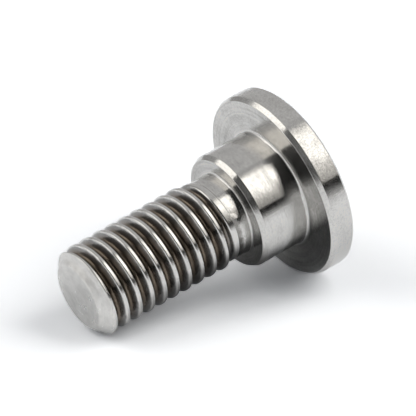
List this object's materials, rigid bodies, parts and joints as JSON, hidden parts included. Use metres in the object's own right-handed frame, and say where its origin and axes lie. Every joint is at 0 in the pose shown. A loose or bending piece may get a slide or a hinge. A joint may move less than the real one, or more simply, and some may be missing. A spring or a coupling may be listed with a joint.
{
  "type": "brake rotor bolt",
  "caption": "Shoulder bolt that holds a brake disc to its hub: flat round head with a hexagon socket, plain shoulder, short neck and a rolled thread with a chamfered tip.",
  "frame": {"origin": "centre of the head's outer face, which the bolt stands on", "axes": "+Z along the bolt's axis, from the head to the thread's tip"},
  "size_m": [0.0164, 0.0164, 0.022],
  "materials": {
    "machined_steel": "turned and ground bare metal, bright, with a rolled thread that is darker in its roots"
  },
  "bodies": {
    "root": {"rotor_bolt": "machined_steel"}
  },
  "joints": []
}
